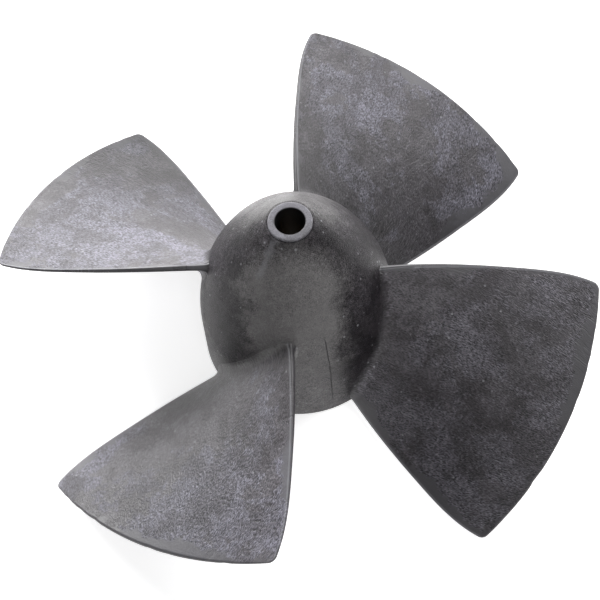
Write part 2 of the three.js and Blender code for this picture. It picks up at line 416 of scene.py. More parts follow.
# How much a noise is shortened along the span, for long strokes and for streaks.
STROKE_STRETCH = 0.42
STREAK_STRETCH = 0.22

# How far the smooth resin band along the edges wanders, and where it fades into the skin.
BAND_WANDER = 26 * MM
BAND_FADE = (0.7 * MM, 1.9 * MM)


def attribute_value(tree, name):
    return node(tree, "ShaderNodeAttribute", attribute_name=name).outputs["Fac"]


def reach_along(tree, place, degrees):
    """How far a point lies from the axis in a level direction, its azimuth in degrees."""
    turn = math.radians(degrees)
    inputs = {0: place, 1: (math.cos(turn), math.sin(turn), 0)}
    way = node(tree, "ShaderNodeVectorMath", inputs, operation="DOT_PRODUCT")
    return way.outputs["Value"]


def height_of(tree, place):
    return node(tree, "ShaderNodeSeparateXYZ", {"Vector": place}).outputs["Z"]


def painted_hub_light(tree, place):
    """1 where light is painted pale onto the hub: between two blades, on the front and on the back.
    """
    front = reach_along(tree, place, PAINTED_HUB_LIGHT_AZIMUTH)
    wide = maths(tree, "ABSOLUTE", reach_along(tree, place, PAINTED_HUB_LIGHT_AZIMUTH + 90))
    ragged = centred(tree, noise_value(tree, place, 90.0, 8.0, 0.7), 22 * MM)
    middle = smooth_step(tree, maths(tree, "ADD", wide, ragged), 18 * MM, 9 * MM)
    ahead = smooth_step(tree, front, 4 * MM, 13 * MM)
    behind = maths(tree, "MULTIPLY", smooth_step(tree, front, 1 * MM, -5 * MM), 0.6)
    patch = maths(tree, "MULTIPLY", middle, maths(tree, "ADD", ahead, behind, True))
    high = smooth_step(tree, height_of(tree, place), 16 * MM, 44 * MM)
    return maths(tree, "MULTIPLY", patch, scaled(tree, high, 0.5, 0.5))


def meridian_mark(tree, place, degrees, low, high, width):
    """A mark that runs down the hub at one azimuth, from height high to height low."""
    ragged = centred(tree, noise_value(tree, place, 260.0, 3.0), 3 * width)
    aside = maths(tree, "ADD", reach_along(tree, place, degrees + 90), ragged)
    line = smooth_step(tree, maths(tree, "ABSOLUTE", aside), width, 0.3 * width)
    ahead = smooth_step(tree, reach_along(tree, place, degrees), 0.0, 1 * MM)
    height = height_of(tree, place)
    above = smooth_step(tree, height, low, low + 2 * MM)
    below = smooth_step(tree, height, high, high - 2 * MM)
    return product(tree, line, ahead, above, below)


def composite_skin(tree, place, flow, colours, settings):
    """Places the composite skin in a material, with its dark, plain and frosted colour."""
    inputs = {"Vector": place, "Flow": flow, "Speck": finishes().speck}
    inputs.update(zip(("Dark", "Plain", "Frost"), colours))
    inputs.update(settings)
    return node(tree, "ShaderNodeGroup", inputs, node_tree=skin_group())


def hub_skin(tree, place):
    """The hub's skin: dark and gritty, with pale patches of painted light that have less grain."""
    tints = finishes()
    patch = painted_hub_light(tree, place)
    colours = [
        blend_colour(tree, patch, colour, tints.hub_pale_and_painted_light)
        for colour in (tints.hub_dark, tints.hub_plain, tints.hub_frost)
    ]
    return composite_skin(tree, place, place, colours, {
        "Patch Scale": 60.0,
        "Patch Shift": -0.02,
        "Speck Share": 0.3,
        "Grain": maths(tree, "SUBTRACT", 1.25, maths(tree, "MULTIPLY", patch, 0.9)),
    })


def span_vector(tree, stretch):
    """A place on a blade, shortened along its span, in which noise makes long strokes."""
    inputs = {
        "X": maths(tree, "MULTIPLY", attribute_value(tree, "root_distance"), stretch),
        "Y": attribute_value(tree, "chord_place"),
        "Z": attribute_value(tree, "blade_frost_and_shade"),
    }
    return node(tree, "ShaderNodeCombineXYZ", inputs).outputs["Vector"]


def flow_lines(tree):
    """Faint streaks that the resin leaves along the blade's span."""
    vector = span_vector(tree, STREAK_STRETCH)
    streaks = thin_lines(tree, noise_value(tree, vector, 260.0, 3.0, 0.6, 1.4), 9.0)
    where = smooth_step(tree, noise_value(tree, vector, 45.0, 3.0), 0.42, 0.60)
    return maths(tree, "MULTIPLY", streaks, where)


def blade_skin(tree, place, inside):
    """The faces of a blade: more frost towards the tip and less near the hub, partly painted shade
    at the blade's root; less grain near the edges.
    """
    tints = finishes()
    outboard = smooth_step(tree, attribute_value(tree, "root_distance"), 6 * MM, 44 * MM)
    # The painted light and shade also shifts the frost: more frost where a blade is painted
    # lighter.
    painted_light_swing = maths(tree, "SUBTRACT", attribute_value(tree, "painted_light"), 1.0)
    # Less frost near the hub: partly the skin's own, partly painted shade at the blade's root.
    shift = scaled(tree, outboard, 0.075, -0.055)
    flow = span_vector(tree, STROKE_STRETCH)
    return composite_skin(tree, place, flow, (tints.dark, tints.plain, tints.frost), {
        "Patch Scale": 38.0,
        "Patch Shift": maths(tree, "ADD", shift, maths(tree, "MULTIPLY", painted_light_swing, 0.15)),
        "Patch Cover": attribute_value(tree, "blade_frost_and_shade"),
        "Grain": scaled(tree, inside, 0.8, 0.2),
    })


@shared("materials", "Blade composite")
def blade_material(name):
    """Fibre-filled composite with a smooth resin band and a painted highlight along the edges."""
    tints = finishes()
    material, tree, shader, place = new_material(name)
    edge = attribute_value(tree, "edge_distance")
    wander = centred(tree, noise_value(tree, place, 42.0, 10.0, 0.68), BAND_WANDER)
    inside = smooth_step(tree, maths(tree, "SUBTRACT", edge, wander), *BAND_FADE)
    skin = blade_skin(tree, place, inside)
    flow = flow_lines(tree)
    streak = maths(tree, "MULTIPLY", flow, 0.45)
    streaked = blend_colour(tree, streak, skin.outputs["Colour"], tints.dark)
    colour = blend_colour(tree, scaled(tree, inside, 0.75, 0.25), tints.band, streaked)
    # Painted light and shade: the colour is multiplied by each blade's painted brightness.
    colour = blend_colour(tree, 1.0, colour, attribute_value(tree, "painted_light"), "MULTIPLY")
    near_root = smooth_step(tree, attribute_value(tree, "root_distance"), 1.6 * MM, 0.0)
    colour = blend_colour(tree, near_root, colour, hub_skin(tree, place).outputs["Colour"])
    on_edge = smooth_step(tree, attribute_value(tree, "face_place"), 0.98, 0.80)
    colour = blend_colour(tree, maths(tree, "MULTIPLY", on_edge, 0.6), colour, tints.edge)
    # A painted highlight: a thin pale line along the edges of the blade's faces, not on the narrow
    # sides.
    ragged = maths(tree, "MULTIPLY", noise_value(tree, place, 400.0, 4.0), 0.5 * MM)
    highlight_and_scuff = smooth_step(tree, maths(tree, "SUBTRACT", edge, ragged), 0.12 * MM, -0.1 * MM)
    highlight_and_scuff = product(tree, highlight_and_scuff, maths(tree, "SUBTRACT", 1.0, on_edge), 0.5)
    colour = blend_colour(tree, highlight_and_scuff, colour, tints.highlight_and_scuff)
    rough = scaled(tree, skin.outputs["Frosted"], 0.06, 0.39)
    height = maths(tree, "SUBTRACT", skin.outputs["Height"], maths(tree, "MULTIPLY", flow, 1.2))
    connect(tree, shader, colour, rough, height, 0.05 * MM)
    return material


@shared("materials", "Hub composite")
def hub_material(name):
    """Darker, gritty composite of the hub."""
    tints = finishes()
    material, tree, shader, place = new_material(name)
    skin = hub_skin(tree, place)
    scratch = meridian_mark(tree, place, *SCRATCH)
    cut = maths(tree, "MULTIPLY", scratch, 0.8)
    colour = blend_colour(tree, cut, skin.outputs["Colour"], tints.hub_dark)
    scuff = maths(tree, "MULTIPLY", meridian_mark(tree, place, *SCUFF), 0.35)
    colour = blend_colour(tree, scuff, colour, tints.highlight_and_scuff)
    shader.inputs["Specular IOR Level"].default_value = HUB_SPECULAR
    rough = scaled(tree, skin.outputs["Frosted"], 0.08, 0.37)
    height = maths(tree, "SUBTRACT", skin.outputs["Height"], maths(tree, "MULTIPLY", scratch, 4.0))
    connect(tree, shader, colour, rough, height, 0.04 * MM)
    return material


@shared("materials", "Core composite")
def core_material(name):
    """Smooth moulded composite of the nose ring and the boss, with near-black painted shade in the
    bore.
    """
    tints = finishes()
    _, hub = sizes()
    material, tree, shader, place = new_material(name)
    skin = composite_skin(tree, place, place, (tints.band, tints.nose, tints.nose), {
        "Patch Scale": 210.0,
        "Patch Shift": 0.06,
        "Grain": 0.3,
    })
    flat = node(tree, "ShaderNodeVectorMath", {0: place, 1: (1, 1, 0)}, operation="MULTIPLY")
    radius = node(tree, "ShaderNodeVectorMath", {0: flat.outputs["Vector"]}, operation="LENGTH")
    # Painted shade: the bore's wall is coloured near-black.
    bore = smooth_step(tree, radius.outputs["Value"], hub.nose_bore + 0.45 * MM, hub.nose_bore)
    colour = blend_colour(tree, bore, skin.outputs["Colour"], tints.bore_shade)
    connect(tree, shader, colour, 0.5, skin.outputs["Height"], 0.02 * MM)
    return material


@shared("materials", "Web composite")
def web_material(name):
    """Plain moulded composite of the webs."""
    tints = finishes()
    material, tree, shader, place = new_material(name)
    colours = (tints.hub_dark, tints.hub_plain, tints.hub_pale_and_painted_light)
    skin = composite_skin(tree, place, place, colours, {"Patch Scale": 90.0, "Grain": 0.5})
    connect(tree, shader, skin.outputs["Colour"], 0.55, skin.outputs["Height"], 0.03 * MM)
    return material


@shared("materials", "Bush bronze")
def bronze_material(name):
    """Turned bronze with fine tool rings and water tarnish."""
    tints = finishes()
    material, tree, shader, place = new_material(name)
    stain = smooth_step(tree, noise_value(tree, place, 220.0, 5.0, 0.6), 0.42, 0.62)
    colour = blend_colour(tree, stain, tints.bronze, tints.tarnish)
    shader.inputs["Metallic"].default_value = 1.0
    rough = scaled(tree, stain, 0.3, 0.25)
    stretch = node(tree, "ShaderNodeMapping", {"Vector": place, "Scale": (40, 40, 5000)})
    rings = noise_value(tree, stretch.outputs["Vector"], 1.0, 2.0)
    connect(tree, shader, colour, rough, rings, 0.03 * MM, 0.5)
    return material


# ---------------- mesh helpers

MERGE_DISTANCE = 0.001 * MM

# How near to a level or a line a vertex counts as lying on it.
ON_LINE = 0.01 * MM


def extruded(bm, faces, way):
    """Extrudes faces along a vector and turns all normals outwards."""
    grown = bmesh.ops.extrude_face_region(bm, geom=faces)
    verts = [v for v in grown["geom"] if isinstance(v, bmesh.types.BMVert)]
    bmesh.ops.translate(bm, verts=verts, vec=way)
    bmesh.ops.recalc_face_normals(bm, faces=bm.faces)


def finish_piece(bm, name, material, node_name):
    """Turns a bmesh into a piece of the propeller that stands for one CAD node."""
    mesh = bpy.data.meshes.new(name)
    bm.to_mesh(mesh)
    bm.free()
    mesh.shade_smooth()
    mesh.materials.append(material)
    piece = bpy.data.objects.new(name, mesh)
    bpy.context.scene.collection.objects.link(piece)
    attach(piece, "root")
    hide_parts(node_name)
    return piece


def outline_chain(bm, points, closed):
    """Joins [radius, height] points into a chain of edges in the XZ plane."""
    places = [(radius, 0, height) for radius, height in points]
    verts = [bmesh.ops.create_vert(bm, co=place)["vert"][0] for place in places]
    edges = [bm.edges.new(pair) for pair in zip(verts, verts[1:])]
    if closed:
        edges.append(bm.edges.new((verts[-1], verts[0])))
    return verts + edges


def turn_outline(points, steps):
    """A closed outline turned a full circle round the shaft axis."""
    bm = bmesh.new()
    chain = outline_chain(bm, points, True)
    bmesh.ops.spin(
        bm,
        geom=chain,
        cent=(0, 0, 0),
        axis=(0, 0, 1),
        angle=2 * math.pi,
        steps=steps,
        use_merge=True,
    )
    bmesh.ops.remove_doubles(bm, verts=bm.verts, dist=MERGE_DISTANCE)
    bmesh.ops.recalc_face_normals(bm, faces=bm.faces)
    return bm


def rounded(corners, radius, steps=4):
    """A closed outline with each corner rounded. A corner may give its own radius third."""
    points = []
    count = len(corners)
    for i, corner in enumerate(corners):
        here = Vector(corner[:2])
        before = Vector(corners[i - 1][:2])
        after = Vector(corners[(i + 1) % count][:2])
        size = corner[2] if len(corner) > 2 else radius
        to_before = before - here
        to_after = after - here
        reach = min(size, to_before.length * 0.45, to_after.length * 0.45)
        if reach <= 0:
            points.append(tuple(here))
            continue
        start = here + to_before.normalized() * reach
        end = here + to_after.normalized() * reach
        for k in range(steps + 1):
            t = k / steps
            points.append(tuple(start * (1 - t) ** 2 + here * 2 * t * (1 - t) + end * t ** 2))
    return points


# ---------------- hub shapes

# Steps round a full turn.
SHELL_STEPS = 192
CORE_STEPS = 128
BUSH_STEPS = 96

# Steps along a dome, for the shell's outside, its inside and the webs.
OUTER_DOME_STEPS = 60
INNER_DOME_STEPS = 40
WEB_DOME_STEPS = 16

# The rear rim's rounding, and the height at which the shell's walls run on straight from it.
RIM_ROUND = 0.7 * MM
RIM_HEIGHT = 4 * MM

# Heights where the core narrows from its drum to the boss, and from the boss to the nose.
DRUM_TOP = 22 * MM
BOSS_FOOT = 28 * MM
BOSS_TOP = 52 * MM
NOSE_FOOT = 60 * MM

BUSH_CHAMFER = 0.5 * MM
WEB_BEVEL = 0.5 * MM

# Edges that turn more than this stay sharp in the shading.
CORE_SHARP_DEGREES = 35
WEB_SHARP_DEGREES = 40


def dome_radius(height, base, top, end):
    """Radius of a dome that leaves the skirt at radius base and reaches top at height end."""
    _, hub = sizes()
    rise = max(0.0, (height - hub.skirt_height) / (end - hub.skirt_height))
    return top + (base - top) * (1 - min(rise, 1.0) ** hub.dome_power)


def outer_radius(height):
    _, hub = sizes()
    return dome_radius(height, SHELL_HIGH.x, hub.nose_radius, CORE_HIGH.z)


def inner_radius(height):
    _, hub = sizes()
    return dome_radius(height, SHELL_HIGH.x - hub.wall, hub.nose_radius, hub.inner_dome_top)


def dome_points(radius_at, end, steps):
    """Outline of a dome from the skirt's top to a height, closer together towards the nose."""
    _, hub = sizes()
    points = []
    for k in range(steps + 1):
        share = math.sin(k / steps * math.pi / 2)
        height = hub.skirt_height + (end - hub.skirt_height) * share
        points.append((radius_at(height), height))
    return points


class PROPELLER_OT_hub_shell(bpy.types.Operator):
    """Makes the hub's outer shell: a straight skirt and a dome, open at the rear"""

    bl_idname = "propeller.hub_shell"
    bl_label = "Hub shell"

    def execute(self, context):
        _, hub = sizes()
        outer = SHELL_HIGH.x
        inner = outer - hub.wall
        foot = CORE_HIGH.z - hub.ring_stand
        corners = [(inner, RIM_HEIGHT, 0), (inner, 0), (outer, 0), (outer, RIM_HEIGHT, 0)]
        outline = rounded(corners, RIM_ROUND)
        outline += dome_points(outer_radius, foot, OUTER_DOME_STEPS)
        outline += [(hub.nose_radius - SINK, foot)]
        outline += reversed(dome_points(inner_radius, hub.inner_dome_top, INNER_DOME_STEPS))
        bm = turn_outline(outline, SHELL_STEPS)
        finish_piece(bm, "hub_shell_skin", hub_material(), "hub_shell")
        return {"FINISHED"}


class PROPELLER_OT_hub_core(bpy.types.Operator):
    """Makes the boss round the shaft, with the nut seat on its nose and the drive pin's slot"""

    bl_idname = "propeller.hub_core"
    bl_label = "Hub core"

    def execute(self, context):
        _, hub = sizes()
        drum = CORE_HIGH.x
        rear = CORE_LOW.z
        top = CORE_HIGH.z
        seat = BUSH_HIGH.x
        corners = [
            (seat, rear, 0.3 * MM),
            (drum, rear, 0.6 * MM),
            (drum, DRUM_TOP, 1.5 * MM),
            (hub.boss_radius, BOSS_FOOT, 1.5 * MM),
            (hub.boss_radius, BOSS_TOP, 2 * MM),
            (hub.nose_radius, NOSE_FOOT, 1 * MM),
            (hub.nose_radius, top, 0.45 * MM),
            (hub.nose_bore, top, 0.35 * MM),
            (hub.nose_bore, BUSH_HIGH.z, 0),
            (seat, BUSH_HIGH.z, 0),
        ]
        bm = turn_outline(rounded(corners, 0.5 * MM, 5), CORE_STEPS)
        piece = finish_piece(bm, "hub_core_boss", core_material(), "hub_core")
        self.cut_slot(context, piece, hub)
        return {"FINISHED"}

    def cut_slot(self, context, piece, hub):
        """Cuts the drive pin's slot, which has round ends, into the rear of the core."""
        bm = bmesh.new()
        half = hub.slot_width / 2
        centre = hub.slot_length / 2 - half
        low = CORE_LOW.z - 1 * MM
        for side in (1, -1):
            turn = Matrix.Translation((side * centre, 0, low))
            bmesh.ops.create_circle(bm, cap_ends=False, radius=half, segments=32, matrix=turn)
        between = [v for v in bm.verts if abs(v.co.x) < centre - ON_LINE]
        bmesh.ops.delete(bm, geom=between, context="VERTS")
        hull = bmesh.ops.contextual_create(bm, geom=self.join_halves(bm))
        extruded(bm, hull["faces"] or list(bm.faces), (0, 0, BUSH_LOW.z - low))
        mesh = bpy.data.meshes.new("slot cutter")
        bm.to_mesh(mesh)
        bm.free()
        cutter = bpy.data.objects.new("slot_cutter", mesh)
        context.scene.collection.objects.link(cutter)
        cut = piece.modifiers.new("Pin slot", "BOOLEAN")
        cut.operation = "DIFFERENCE"
        cut.solver = "EXACT"
        cut.object = cutter
        graph = context.evaluated_depsgraph_get()
        shaped = bpy.data.meshes.new_from_object(piece.evaluated_get(graph))
        piece.modifiers.clear()
        piece.data = shaped
        shaped.shade_smooth()
        shaped.set_sharp_from_angle(angle=math.radians(CORE_SHARP_DEGREES))
        bpy.data.objects.remove(cutter)

    def join_halves(self, bm):
        """The two half circles' open ends joined by straight edges."""
        ends = [v for v in bm.verts if len(v.link_edges) == 1]
        for sign in (1, -1):
            pair = [v for v in ends if v.co.y * sign > 0]
            bm.edges.new(pair)
        return list(bm.verts) + list(bm.edges)


class PROPELLER_OT_shaft_bush(bpy.types.Operator):
    """Makes the turned bush that the thruster's shaft runs in"""

    bl_idname = "propeller.shaft_bush"
    bl_label = "Shaft bush"

    def execute(self, context):
        _, hub = sizes()
        outer = BUSH_HIGH.x
        corners = [
            (hub.bush_bore + BUSH_CHAMFER, BUSH_LOW.z),
            (outer - BUSH_CHAMFER, BUSH_LOW.z),
            (outer, BUSH_LOW.z + BUSH_CHAMFER),
            (outer, BUSH_HIGH.z),
            (hub.bush_bore + BUSH_CHAMFER, BUSH_HIGH.z),
            (hub.bush_bore, BUSH_HIGH.z - BUSH_CHAMFER),
            (hub.bush_bore, BUSH_LOW.z + BUSH_CHAMFER),
        ]
        bm = turn_outline(rounded(corners, 0.08 * MM, 2), BUSH_STEPS)
        finish_piece(bm, "shaft_bush_turned", bronze_material(), "shaft_bush")
        return {"FINISHED"}


class PROPELLER_OT_webs(bpy.types.Operator):
    """Makes the webs that join the core to the shell inside the hub"""

    bl_idname = "propeller.webs"
    bl_label = "Hub webs"

    def outline(self):
        """A web's outline. It sinks a little into the core and into the shell."""
        _, hub = sizes()
        drum = CORE_HIGH.x - SINK
        boss = hub.boss_radius - SINK
        rear = WEB_LOW.z
        top = WEB_HIGH.z
        points = [(drum, rear), (SHELL_HIGH.x - hub.wall + SINK, rear)]
        for radius, height in dome_points(inner_radius, top, WEB_DOME_STEPS):
            points.append((radius + SINK, height))
        points += [(boss - 1 * MM, top), (boss, BOSS_TOP), (boss, BOSS_FOOT), (drum, DRUM_TOP)]
        return points

    def web(self, index, name):
        """One web, turned to its place round the axis."""
        bm = bmesh.new()
        thickness = WEB_HIGH.y - WEB_LOW.y
        chain = outline_chain(bm, self.outline(), True)
        face = bmesh.ops.contextual_create(bm, geom=chain)["faces"]
        bmesh.ops.translate(bm, verts=bm.verts, vec=(0, -thickness / 2, 0))
        extruded(bm, face, (0, thickness, 0))
        rear = [e for e in bm.edges if all(abs(v.co.z - WEB_LOW.z) < ON_LINE for v in e.verts)]
        bmesh.ops.bevel(
            bm, geom=rear, offset=WEB_BEVEL, affect="EDGES", segments=3, profile=0.5, material=-1
        )
        turn = Matrix.Rotation(index / len(WEB_NODES) * 2 * math.pi, 3, "Z")
        bmesh.ops.rotate(bm, verts=bm.verts, cent=(0, 0, 0), matrix=turn)
        piece = finish_piece(bm, name + "_rib", web_material(), name)
        piece.data.set_sharp_from_angle(angle=math.radians(WEB_SHARP_DEGREES))

    def execute(self, context):
        for index, name in enumerate(WEB_NODES):
            self.web(index, name)
        return {"FINISHED"}


# ---------------- blades

FILLET_ROWS = 9
SPAN_ROWS = 84
CHORD_COLUMNS = 96
EDGE_STEPS = 10

# Below 1 squares an edge's round section a little.
EDGE_SQUARENESS = 0.7

# How closely the rounding keeps to a long edge and to the tip, and the root fillet's loss to
# the long edges. Higher is closer.
EDGE_ROUND_POWER = 30
TIP_ROUND_POWER = 60
FILLET_EDGE_POWER = 6

# How the long edges' bow falls off, inboard of its widest place and outboard of it.
BOW_ROOT_SPAN = 34 * MM
BOW_ROOT_LOSS = 0.6
BOW_TIP_POWER = 3.5

# The first row of a blade tucks in under the hub's skin, nearly along it, to hide the joint.
ROOT_TUCK = 0.16 * MM
ROOT_TUCK_SPREAD = 4.0

# Share of the root fillet that is left at a long edge, on the nose and on the rear face.
NOSE_FILLET_AT_EDGE = 0.15
REAR_FILLET_AT_EDGE = 0.45

# Knocks in a blade's tip: how many, their width as a share of half the blade's, and their
# depth in mm.
NICKS = 8
NICK_WIDTH = (0.012, 0.035)
NICK_DEPTH = (0.05, 0.2)

# Unevenness of a moulded face: its height, and its long and short waves per metre.
RIPPLE_HEIGHT = 0.05 * MM
LONG_RIPPLE = 70
SHORT_RIPPLE = 190
SHORT_RIPPLE_SHARE = 0.4

# How much of each blade's frosted skin is left. The first blade keeps little of it: painted shade,
# which makes it smoother and darker.
BLADE_FROST_AND_SHADE = (0.35, 1.0, 1.0, 0.95)

# Painted light and shade on each blade: how much its colour is lightened or darkened at the
# root aft, root fore, tip aft and tip fore, and what its middle adds. 1 is the plain finish.
BLADE_PAINTED_LIGHT = (
    (1.20, 1.35, 0.90, 1.25, -0.25),
    (0.45, 0.62, 0.97, 1.05, 0.20),
    (1.15, 1.45, 0.50, 1.20, 0.12),
    (0.75, 0.95, 1.25, 1.55, -0.50),
)
# Distance from the hub over which the painted light and shade goes from its root values to its tip
# values.
PAINTED_LIGHT_REACH = 40 * MM


def lerp(low, high, share):
    return low + (high - low) * share


def cut_block(bm, axis, pieces):
    """Cuts every edge of the block that lies along an axis into equal pieces."""
    along = [e for e in bm.edges if abs(e.verts[0].co[axis] - e.verts[1].co[axis]) > 1e-6]
    bmesh.ops.subdivide_edges(bm, edges=along, cuts=pieces - 1, use_grid_fill=True)


def screw_rise(radius, blade):
    """Rise per radian. The pitch falls slowly towards the tip."""
    pitch = blade.pitch * (1 - blade.pitch_fall * (radius - blade.pitch_radius))
    return pitch / (2 * math.pi)


def edge_bow(radius, blade):
    """How far a long edge bows outside the radial line through its tip corner."""
    if radius < blade.bow_radius:
        inboard = (blade.bow_radius - radius) / BOW_ROOT_SPAN
        return blade.edge_bow * (1 - BOW_ROOT_LOSS * inboard ** 2)
    outboard = min(1.0, (radius - blade.bow_radius) / (blade.tip_radius - blade.bow_radius))
    return blade.edge_bow * (1 - outboard ** BOW_TIP_POWER)


def body_half(radius, across, blade):
    """Half thickness of the blade outside its root fillet."""
    share = (radius - SHELL_HIGH.x) / (blade.tip_radius - SHELL_HIGH.x)
    share = min(1.0, max(0.0, share))
    middle = lerp(blade.root_thickness, blade.tip_thickness, share)
    edge = lerp(blade.root_edge, blade.tip_edge, share)
    return lerp(edge, middle, 1 - across ** 2) / 2


def root_flare(across, side, out, blade):
    """Extra half thickness in the root fillet at a distance from the hub."""
    reach = min(1.0, max(0.0, 1 - out / blade.fillet))
    flare = blade.fillet * (1 - math.sqrt(1 - reach ** 2)) + ROOT_TUCK_SPREAD * max(0.0, -out)
    at_edge = NOSE_FILLET_AT_EDGE if side > 0 else REAR_FILLET_AT_EDGE
    return flare * lerp(at_edge, 1, 1 - across ** FILLET_EDGE_POWER)


def place_on_blade(radius, across, side, back, out, blade):
    """Angle and height of a point. across is -1 to 1 from the aft to the fore edge, side is
    -1 to 1 from the rear to the nose face, back is how far a rounded edge has drawn in, as a
    share of the half thickness."""
    half = body_half(radius, across, blade)
    rise = screw_rise(radius, blade)
    length = math.hypot(radius, rise)
    edge_angle = blade.half_angle + math.asin(edge_bow(radius, blade) / radius)
    angle = across * edge_angle - math.copysign(back * half / length, across)
    height = blade.mid_height + rise * angle + blade.rake * (1 - radius / blade.tip_radius)
    height += blade.camber * (1 - across ** 2)
    offset = side * (half + root_flare(across, side, out, blade))
    return angle - offset * rise / (length * radius), height + offset * radius / length


def root_radius(across, side, back, out, blade):
    """Radius of the hub at the height of a blade point near it."""
    radius = SHELL_HIGH.x
    for _ in range(8):
        radius = outer_radius(place_on_blade(radius, across, side, back, out, blade)[1])
    return radius


def span_station(row, blade):
    """Distance from the hub, and share of the span outside the fillet, for a row of points."""
    if row == 0:
        return -ROOT_TUCK, 0.0
    if row <= FILLET_ROWS:
        turn = (row - 1) / (FILLET_ROWS - 1) * math.pi / 2
        return blade.fillet * (1 - math.cos(turn)), 0.0
    share = (row - FILLET_ROWS) / (SPAN_ROWS - FILLET_ROWS)
    return blade.fillet, math.sin(share * math.pi / 2)


def corner_loss(distance, radius):
    """How far a rounded tip corner draws in at a distance from the long edge."""
    reach = max(0.0, radius - distance)
    return radius - math.sqrt(radius ** 2 - reach ** 2)


def tip_nicks(index):
    """Knocks that a blade's tip has taken: place across, width and depth."""
    dice = random.Random(index)
    return [
        (dice.uniform(-0.95, 0.95), dice.uniform(*NICK_WIDTH), dice.uniform(*NICK_DEPTH) * MM)
        for _ in range(NICKS)
    ]


def nick_depth(across, nicks):
    return sum(depth * math.exp(-((across - place) / width) ** 2) for place, width, depth in nicks)


def painted_light(index, across, out):
    """Painted light and shade on a blade's skin at a place across it and at a distance from the
    hub.
    """
    root_aft, root_fore, tip_aft, tip_fore, middle = BLADE_PAINTED_LIGHT[index]
    fore = (across + 1) / 2
    share = min(1.0, max(0.0, out / PAINTED_LIGHT_REACH))
    even = lerp(lerp(root_aft, root_fore, fore), lerp(tip_aft, tip_fore, fore), share)
    return even + middle * (1 - across ** 2) * share


def bend_blank(bm, blade, index):
    """Bends the cut block onto the screw surface and writes the values that the skin uses."""
    edge_layer = bm.verts.layers.float.new("edge_distance")
    root_layer = bm.verts.layers.float.new("root_distance")
    chord_layer = bm.verts.layers.float.new("chord_place")
    face_layer = bm.verts.layers.float.new("face_place")
    frost_and_shade_layer = bm.verts.layers.float.new("blade_frost_and_shade")
    painted_light_layer = bm.verts.layers.float.new("painted_light")
    nicks = tip_nicks(index)
    for vert in bm.verts:
        across = math.sin(vert.co.x * math.pi)
        turn = abs(vert.co.y) * math.pi
        side = math.copysign(math.sin(turn) ** EDGE_SQUARENESS, vert.co.y)
        roundness = 1 - max(0.0, math.cos(turn)) ** EDGE_SQUARENESS
        back = roundness * abs(across) ** EDGE_ROUND_POWER
        out, share = span_station(round((vert.co.z + 0.5) * SPAN_ROWS), blade)
        root = root_radius(across, side, back, out, blade)
        tip = blade.tip_radius - blade.fore_loss * (1 + across) / 2 - nick_depth(across, nicks)
        reach = math.hypot(tip, screw_rise(tip, blade)) * blade.half_angle
        corner = blade.fore_corner if across > 0 else blade.aft_corner
        tip -= corner_loss((1 - abs(across)) * reach, corner)
        radius = lerp(root + out, tip, share)
        radius -= body_half(tip, across, blade) * roundness * share ** TIP_ROUND_POWER
        angle, height = place_on_blade(radius, across, side, back, out, blade)
        width = math.hypot(radius, screw_rise(radius, blade)) * blade.half_angle
        vert[edge_layer] = min((1 - abs(across)) * width, tip - radius)
        vert[root_layer] = radius - root
        vert[chord_layer] = across * width
        vert[face_layer] = abs(side)
        # Frost share of the blade, which paints shade on the first blade.
        vert[frost_and_shade_layer] = BLADE_FROST_AND_SHADE[index]
        # Painted light and shade for this place on the blade.
        vert[painted_light_layer] = painted_light(index, across, radius - root)
        vert.co = (radius * math.cos(angle), radius * math.sin(angle), height)


def ripple(bm, index):
    """The slight unevenness of a moulded face, along its normals. It differs per blade."""
    bm.normal_update()
    shift = Vector((index * 0.7, index * 1.3, 0))
    for vert in bm.verts:
        wave = noise.noise(vert.co * LONG_RIPPLE + shift)
        wave += SHORT_RIPPLE_SHARE * noise.noise(vert.co * SHORT_RIPPLE + shift)
        vert.co += vert.normal * wave * RIPPLE_HEIGHT


class PROPELLER_OT_blades(bpy.types.Operator):
    """Makes the four blades, each running into the hub with a fillet"""

    bl_idname = "propeller.blades"
    bl_label = "Blades"

    def blade(self, index, name):
        """One blade, bent from a cut block and turned to its place round the axis."""
        blade, _ = sizes()
        bm = bmesh.new()
        bmesh.ops.create_cube(bm, size=1)
        cut_block(bm, 0, CHORD_COLUMNS)
        cut_block(bm, 1, EDGE_STEPS)
        cut_block(bm, 2, SPAN_ROWS)
        bend_blank(bm, blade, index)
        ripple(bm, index)
        turn = Matrix.Rotation(index / len(BLADE_NODES) * 2 * math.pi, 3, "Z")
        bmesh.ops.rotate(bm, verts=bm.verts, cent=(0, 0, 0), matrix=turn)
        bmesh.ops.recalc_face_normals(bm, faces=bm.faces)
        finish_piece(bm, name + "_moulding", blade_material(), name)

    def execute(self, context):
        for index, name in enumerate(BLADE_NODES):
            self.blade(index, name)
        return {"FINISHED"}


# ---------------- stage


# How far the floor lies under the hub's rim, so that the two faces don't fall together.
FLOOR_DROP = 0.05 * MM

# Metres from the floor's middle to its sides, and the strength of its own glow.
FLOOR_REACH = 4
FLOOR_GLOW = 0.7

# A soft box's distance from its aim point, the point's height on the shaft axis, and the
# box's width and depth, all in metres.
LIGHT_DISTANCE = 1.4
LIGHT_AIM_HEIGHT = 0.03
LIGHT_WIDTH = 0.7
LIGHT_DEPTH = 0.55

# Soft boxes: name, azimuth from +X and elevation in degrees, watts. Most of the light comes
# from behind and from the left, low over a table that glows a little.
SOFT_BOXES = (
    ("back_low", 105, 4, 6.0),
    ("back_left", 130, 12, 9.4),
    ("left_low", 155, 12, 2.4),
    ("left_high", 155, 30, 18.5),
    ("back_right_low", 75, 12, 3.3),
    ("back_right", 80, 32, 4.2),
    ("top_right", 60, 50, 10.2),
    ("left_fill", 180, 10, 1.0),
    ("top_fill", 303, 62, 2.4),
    ("front_fill", 303, 36, 2.5),
)


